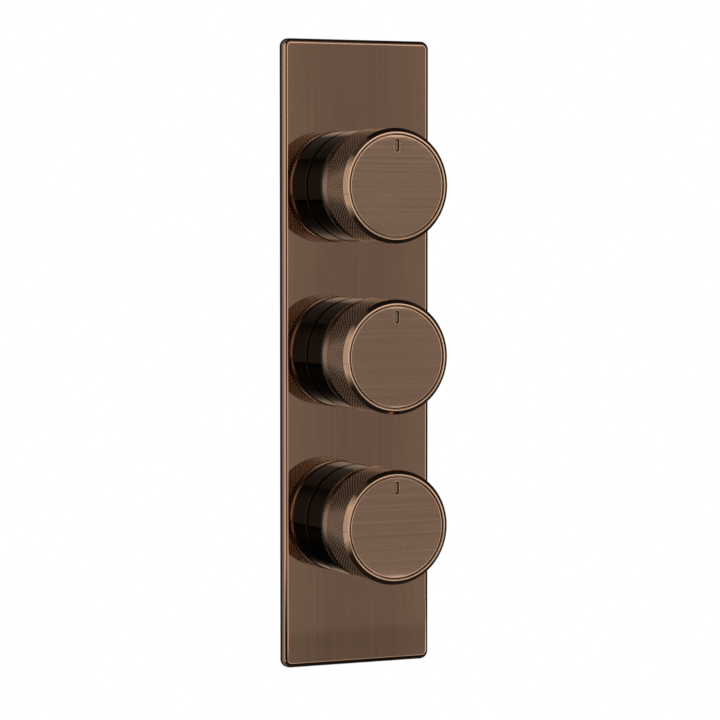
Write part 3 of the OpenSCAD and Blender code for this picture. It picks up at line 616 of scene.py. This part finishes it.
def knurl(z):
    """Diamonds with small flat tops between crossing grooves, around the axis at height z."""
    points, faces = [], []
    half_turn, half_y = TURN / KNURL_COUNT / 2, KNURL_STEP / 2
    rows = math.ceil((KNURL_BACK - KNURL_FRONT) / half_y)
    middle = (KNURL_BACK + KNURL_FRONT) / 2

    def at(r, turn, y):
        return r * math.sin(turn), min(max(y, KNURL_FRONT), KNURL_BACK), z + r * math.cos(turn)

    for row in range(rows):
        y = middle + (row - (rows - 1) / 2) * half_y
        for k in range(KNURL_COUNT):
            turn = TURN * (k + 0.5 * (row % 2)) / KNURL_COUNT
            left, right, low, high = turn - half_turn, turn + half_turn, y - half_y, y + half_y
            outer = ((left, y), (turn, low), (right, y), (turn, high))
            top = ((turn + KNURL_FLAT * (t - turn), y + KNURL_FLAT * (v - y)) for t, v in outer)
            start = len(points)
            points += [at(VALLEY_R, t, v) for t, v in outer] + [at(PEAK_R, t, v) for t, v in top]
            for i in range(4):
                j = (i + 1) % 4
                faces.append((start + i, start + j, start + 4 + j, start + 4 + i))
            faces.append(tuple(start + 4 + i for i in range(4)))
    return points, faces


# Stop lug on the temperature handle's hub: how far it stands out
LUG_LENGTH = 3 * MM


def lug(z, y_hub):
    """The stop lug, above the axis at height z."""
    r_in, r_out, sunk = 6.5 * MM, 9 * MM, 0.4 * MM
    half_angle, count = 19.5, 10
    points, faces = [], []
    y0, y1 = y_hub - sunk, y_hub + LUG_LENGTH
    for k in range(count + 1):
        a = math.radians(-half_angle + 2 * half_angle * k / count)
        for r, y in ((r_in, y0), (r_out, y0), (r_out, y1), (r_in, y1)):
            points.append((r * math.sin(a), y, z + r * math.cos(a)))
    for k in range(count):
        for i in range(4):
            a, b = 4 * k + i, 4 * k + (i + 1) % 4
            faces.append((a, b, b + 4, a + 4))
    faces += [(3, 2, 1, 0), tuple(4 * count + i for i in range(4))]
    return points, faces


def handle(where, body):
    node = "handle_" + where
    has_lug = where == "temperature"
    plain_low, plain_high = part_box("handle_middle" if has_lug else node)
    low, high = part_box(node)
    r, z = (plain_high.x - plain_low.x) / 2, (high.z + low.z) / 2
    length, wall = 27 * MM, 2.2 * MM
    y_front, y_back = low.y, low.y + length
    y_hub = high.y - LUG_LENGTH if has_lug else high.y
    # Rear end: depth and length of the chamfer, its corners, and taper of the smooth band
    chamfer_in, chamfer, rear_corner, taper = 0.4 * MM, 1.7 * MM, 0.3 * MM, 0.3 * MM
    # Bed under the knurl, and front bevel with its two corners
    bed_r, bevel, bevel_corner, bevel_end = r - 0.6 * MM, 1.8 * MM, 0.25 * MM, 0.15 * MM
    # Rim inside the bevel: drop, width and corner of its slope, its own width and inner corner
    crown, crown_w, crown_corner = 0.07 * MM, 0.5 * MM, 0.3 * MM
    rim_w, rim_corner = 1 * MM, 0.08 * MM
    rim_r, inner = r - bevel - rim_w, r - chamfer_in - wall
    # Web across the handle, and radii of its hub, of the bush in it and of the screw's hole
    web_front, web = y_front + 3 * MM, 3.4 * MM
    web_back = web_front + web
    hub, bush, screw_r = 9 * MM, 6.05 * MM, 2.7 * MM
    # Seat of the cap's spigot in the web: radius and bottom
    spigot, y_spigot = 8.05 * MM, web_front + 1.8 * MM
    outline = [
        (inner, y_back),
        (r - chamfer_in, y_back, rear_corner),
        (r, y_back - chamfer, rear_corner),
        (r - taper, KNURL_BACK),
        (bed_r, KNURL_BACK),
        (bed_r, KNURL_FRONT),
        (r, KNURL_FRONT),
        (r, y_front + bevel, bevel_corner),
        (r - bevel, y_front + crown, bevel_end),
        (r - bevel - crown_w, y_front, crown_corner),
        (rim_r, y_front, rim_corner),
        (rim_r, web_front),
        (spigot, web_front),
        (spigot, y_spigot),
        (screw_r, y_spigot),
        (screw_r, web_back),
        (bush, web_back),
        (bush, y_hub),
        (hub, y_hub),
        (hub, web_back + web),
        (hub + web, web_back),
        (inner - web, web_back),
        (inner, web_back + web),
    ]
    parts = [lathe(eased(outline), z), knurl(z)]
    if has_lug:
        parts.append(lug(z, y_hub))
    piece(node + "_knurled", *joined(*parts), body, "bronze_handle", node)


# Front caps


def obround(width, height, z, y):
    """Ring of points of an upright slot with round ends."""
    r, half, steps = width / 2, (height - width) / 2, 16
    made = []
    for sign, first in ((1, 0), (-1, 180)):
        for k in range(steps + 1):
            a = math.radians(first + 180 * k / steps)
            made.append((r * math.cos(a), y, z + sign * half + r * math.sin(a)))
    return made


def cap(where, body):
    node = "handle_cap_" + where
    low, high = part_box(node)
    r, z, y_face = (high.x - low.x) / 2, (high.z + low.z) / 2, low.y
    # Slope around the flat face, and the rounded edge outside it
    slope, slope_drop, edge, edge_steps = 0.5 * MM, 0.065 * MM, 0.2 * MM, 8
    # Spigot that sits in the handle, hollow up to the cap's own thickness
    spigot, spigot_in, y_back = 8 * MM, 6.2 * MM, high.y - 1.5 * MM
    # Back of that thickness, and radius of the small face that closes it on the axis
    y_floor, axis_r = y_face + 1.5 * MM, 0.02 * MM
    outline = [(r - edge - slope, y_face)]
    outline += [
        (r - edge + edge * math.sin(a), y_face + slope_drop + edge - edge * math.cos(a))
        for a in (math.pi / 2 * k / edge_steps for k in range(edge_steps + 1))
    ]
    outline += [(r, y_back), (spigot, y_back), (spigot, high.y)]
    outline += [(spigot_in, high.y), (spigot_in, y_floor), (axis_r, y_floor)]
    rings = len(outline)
    points, faces = lathe(outline, z, closed=False)
    faces.append(tuple(k * rings + rings - 1 for k in range(SIDES)))
    # Index recess: floor, height above the axis, and (inset, depth) down its sloped sides
    width, height, recess_z = 1.4 * MM, 4.9 * MM, z + 18.75 * MM
    side, depth = 0.85 * MM, 0.7 * MM
    steps = ((0, 0), (0.25 * MM, 0.035 * MM), (side, 0.58 * MM), (side, depth))
    slots = [
        obround(width + 2 * (side - inset), height + 2 * (side - inset), recess_z, y_face + down)
        for inset, down in steps
    ]
    flat(points, faces, [points[k * rings] for k in range(SIDES)], slots[0])
    at = len(points) - len(slots[0])
    for ring in slots[1:]:
        at = bridge(points, faces, at, ring)
    faces.append(tuple(at + i for i in range(len(slots[-1]))))
    piece(node + "_brushed", points, faces, body, "bronze_cap", node)


# Springs


def spring(node, axis, fixed_high):
    """A still copy of a spring's coils, standing in for its CAD node.

    The ends that the valve and a moving body would hold, high or low along the axis, are worked
    out, but the coils neither close up nor ride on the body.
    """
    made = bpy.data.objects.new(node + "_coils", frame["nodes"][node].data.copy())
    bpy.context.scene.collection.objects.link(made)
    low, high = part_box(node)
    held, carried = (low + high) / 2, (low + high) / 2
    held[axis], carried[axis] = (high[axis], low[axis]) if fixed_high else (low[axis], high[axis])
    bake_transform(made)
    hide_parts(node)


# The object

faceplate()
for where in SLEEVES:
    sleeve(where)
for where, body in HANDLES:
    handle(where, body)
for where, body in HANDLES:
    cap(where, body)
slot_of = {s["node"]: s["material_slot"] for s in frame["record"]["subparts"]}
for name, node in frame["nodes"].items():
    finish = INLET_BRASS if name.startswith("inlet_union") else MATERIALS[slot_of[name]]
    if node.material_slots:
        for held in node.material_slots:
            held.material = finish
    else:
        node.data.materials.append(finish)
spring("check_spring_hot", 0, True)
spring("check_spring_cold", 0, False)
spring("return_spring", 1, True)

# Stage

# Level of the wall in reflections, along X: bright on the left of the plate, dark behind it
ALONG_WALL = (
    (-0.1, 0.35),
    (-0.066, 0.35),
    (-0.056, 1.2),
    (-0.0455, 1.2),
    (-0.0442, 0.12),
    (-0.0405, 0.05),
    (0.0, 0.12),
    (0.05, 0.05),
    (0.1, 0.05),
)
# Level of the floor in reflections, along Y: dark below the object, pale far in front of it
ALONG_FLOOR = ((-4.0, 0.55), (-3.5, 0.6), (-3.0, 2.8), (-1.9, 2.8), (-1.4, 0.05), (4.0, 0.05))
# Share of that level, along X: little on the left
SIDE_SHARE = ((-4.0, 0.03), (-0.35, 0.03), (0.0, 0.1), (0.35, 0.4), (0.6, 1.0), (4.0, 1.0))
# Level of the floor on the left of the object, along X, and where it fades in along Y
ACROSS_FLOOR = ((-4.0, 1.6), (-1.6, 1.6), (-0.7, 0.05), (4.0, 0.0))
ACROSS_FADE = (-2.2, -1.8, 0, 1)
PALE = (0.8, 0.8, 0.8, 1)


def pale(name, level, one_sided):
    """White to the camera, pale and matt to lamps, and in reflections of a level by place.

    One-sided, it hides nothing from a camera behind it.
    """
    made, g = material(name)
    kinds, seen = g.in_view()
    matt = g.add("ShaderNodeBsdfDiffuse", {"Color": PALE})
    strength = g.white_in_view(seen, level(g, *g.split(g.place())))
    glow = g.add("ShaderNodeEmission", {"Color": (*WHITE, 1), "Strength": strength})
    shines = g.math("MAXIMUM", seen, kinds["Is Glossy Ray"])
    shown = g.add("ShaderNodeMixShader", {0: shines, 1: matt.outputs[0], 2: glow.outputs[0]})
    if one_sided:
        back = g.add("ShaderNodeNewGeometry").outputs["Backfacing"]
        behind = g.times(back, kinds["Is Camera Ray"])
        clear = g.add("ShaderNodeBsdfTransparent")
        shown = g.add("ShaderNodeMixShader", {0: behind, 1: shown.outputs[0], 2: clear.outputs[0]})
    g.add("ShaderNodeOutputMaterial", {"Surface": shown.outputs[0]})
    return made


def backdrop(name, corners, level, one_sided=False):
    mesh = bpy.data.meshes.new(name)
    mesh.from_pydata(corners, [], [(0, 1, 2, 3)])
    mesh.update()
    mesh.materials.append(pale(name + "_white", level, one_sided))
    made = bpy.data.objects.new(name, mesh)
    bpy.context.scene.collection.objects.link(made)


def wall_level(g, x, y, z):
    return g.levels(x, ALONG_WALL)


def floor_level(g, x, y, z):
    in_front = g.times(g.levels(y, ALONG_FLOOR), g.levels(x, SIDE_SHARE))
    beside = g.times(g.levels(x, ACROSS_FLOOR), g.spread(y, *ACROSS_FADE))
    return g.math("MAXIMUM", in_front, beside)


# Half the side and the place of the wall and of the floor. The wall is just behind the finished
# wall's face, in front of the concealed body.
WALL_REACH, WALL_Y = 0.7, 5 * MM
FLOOR_REACH, FLOOR_Z = 4.0, -0.75
CORNERS = ((-1, -1), (1, -1), (1, 1), (-1, 1))

wall_corners = [(WALL_REACH * i, WALL_Y, WALL_REACH * j) for i, j in CORNERS]
backdrop("wall", wall_corners, wall_level, one_sided=True)
floor_corners = [(FLOOR_REACH * i, FLOOR_REACH * j, FLOOR_Z) for i, j in CORNERS]
backdrop("floor", floor_corners, floor_level)

# Lamps and world


def area_light(name, at, toward, size, power):
    data = bpy.data.lights.new(name, "AREA")
    data.shape = "RECTANGLE"
    data.size, data.size_y = size, size
    data.energy = power
    made = bpy.data.objects.new(name, data)
    made.location = at
    made.rotation_mode = "QUATERNION"
    made.rotation_quaternion = (Vector(toward) - Vector(at)).to_track_quat("-Z", "Y")
    made.visible_glossy = False
    made.visible_camera = False
    bpy.context.scene.collection.objects.link(made)


area_light("light_front", (-0.9, -1.6, 1.4), (0, 0, 0), size=1.2, power=26)
area_light("light_back", (0.8, 1.8, 1.2), (0, 0.04, 0), size=1.4, power=30)

# Light around the object, by compass direction in degrees from the front towards the right
AROUND = (
    (-180, 0.9),
    (-112, 0.9),
    (-100, 2.2),
    (-76, 2.2),
    (-67, 1.5),
    (-61, 1.5),
    (-57, 2.6),
    (-41, 2.6),
    (-35, 0.42),
    (-23, 0.36),
    (-13, 0.08),
    (62, 0.06),
    (118, 0.1),
    (140, 0.9),
    (180, 0.9),
)
# Share of it that is left up and down, by the sine of the height angle
AROUND_FADE = (0.4, 0.7, 1, 0.06)
# Light in a band above the camera's direction, by compass direction
ABOVE = (
    (-180, 0.0),
    (-13.5, 0.0),
    (-11.5, 0.3),
    (0, 0.45),
    (13, 0.9),
    (26, 1.1),
    (44, 0.0),
    (180, 0.0),
)
# Sines of the height angle where that band fades in and out
ABOVE_START, ABOVE_END = (0.22, 0.36, 0, 1), (0.62, 0.8, 1, 0)
# Light by the angle in degrees from the direction that the faceplate mirrors to the camera
MIRRORED = Vector((0.422, -0.9052, -0.0501))
OUTWARD = (
    (0, 0.7),
    (7, 0.72),
    (10, 2.4),
    (12, 3.6),
    (20, 3.6),
    (25, 0.5),
    (31, 0.04),
    (180, 0.0),
)


def world():
    made = bpy.data.worlds.new("studio")
    bpy.context.scene.world = made
    made.use_nodes = True
    g = Graph(made.node_tree)
    direction = g.add("ShaderNodeTexCoord").outputs["Generated"]
    x, y, z = g.split(direction)
    turn = g.math("DEGREES", g.math("ARCTAN2", x, g.times(y, -1.0)))
    around = g.times(g.levels(turn, AROUND), g.spread(g.math("ABSOLUTE", z), *AROUND_FADE))
    above = g.times(g.spread(z, *ABOVE_START), g.spread(z, *ABOVE_END), g.levels(turn, ABOVE))
    dot = g.add("ShaderNodeVectorMath", {0: direction, 1: MIRRORED}, operation="DOT_PRODUCT")
    away = g.math("DEGREES", g.math("ARCCOSINE", dot.outputs["Value"]))
    level = g.math("MAXIMUM", g.math("MAXIMUM", around, g.levels(away, OUTWARD)), above)
    strength = g.white_in_view(g.in_view()[1], level)
    glow = g.add("ShaderNodeBackground", {"Color": (*WHITE, 1), "Strength": strength})
    g.add("ShaderNodeOutputWorld", {"Surface": glow.outputs[0]})


world()

# Camera, at the photograph's angle

CAMERA_AT, CAMERA_TOWARD = (-0.61097, -1.31823, 0.06939), (0.42199, 0.90522, -0.05009)

optics = bpy.data.cameras.new("camera")
optics.sensor_width = 36
optics.lens = 151.0
optics.clip_start, optics.clip_end = 0.05, 50
optics.dof.use_dof = False
camera = bpy.data.objects.new("camera", optics)
camera.location = CAMERA_AT
camera.rotation_mode = "QUATERNION"
camera.rotation_quaternion = Vector(CAMERA_TOWARD).to_track_quat("-Z", "Y")
bpy.context.scene.collection.objects.link(camera)
bpy.context.scene.camera = camera
bpy.context.scene.view_settings.view_transform = "Standard"
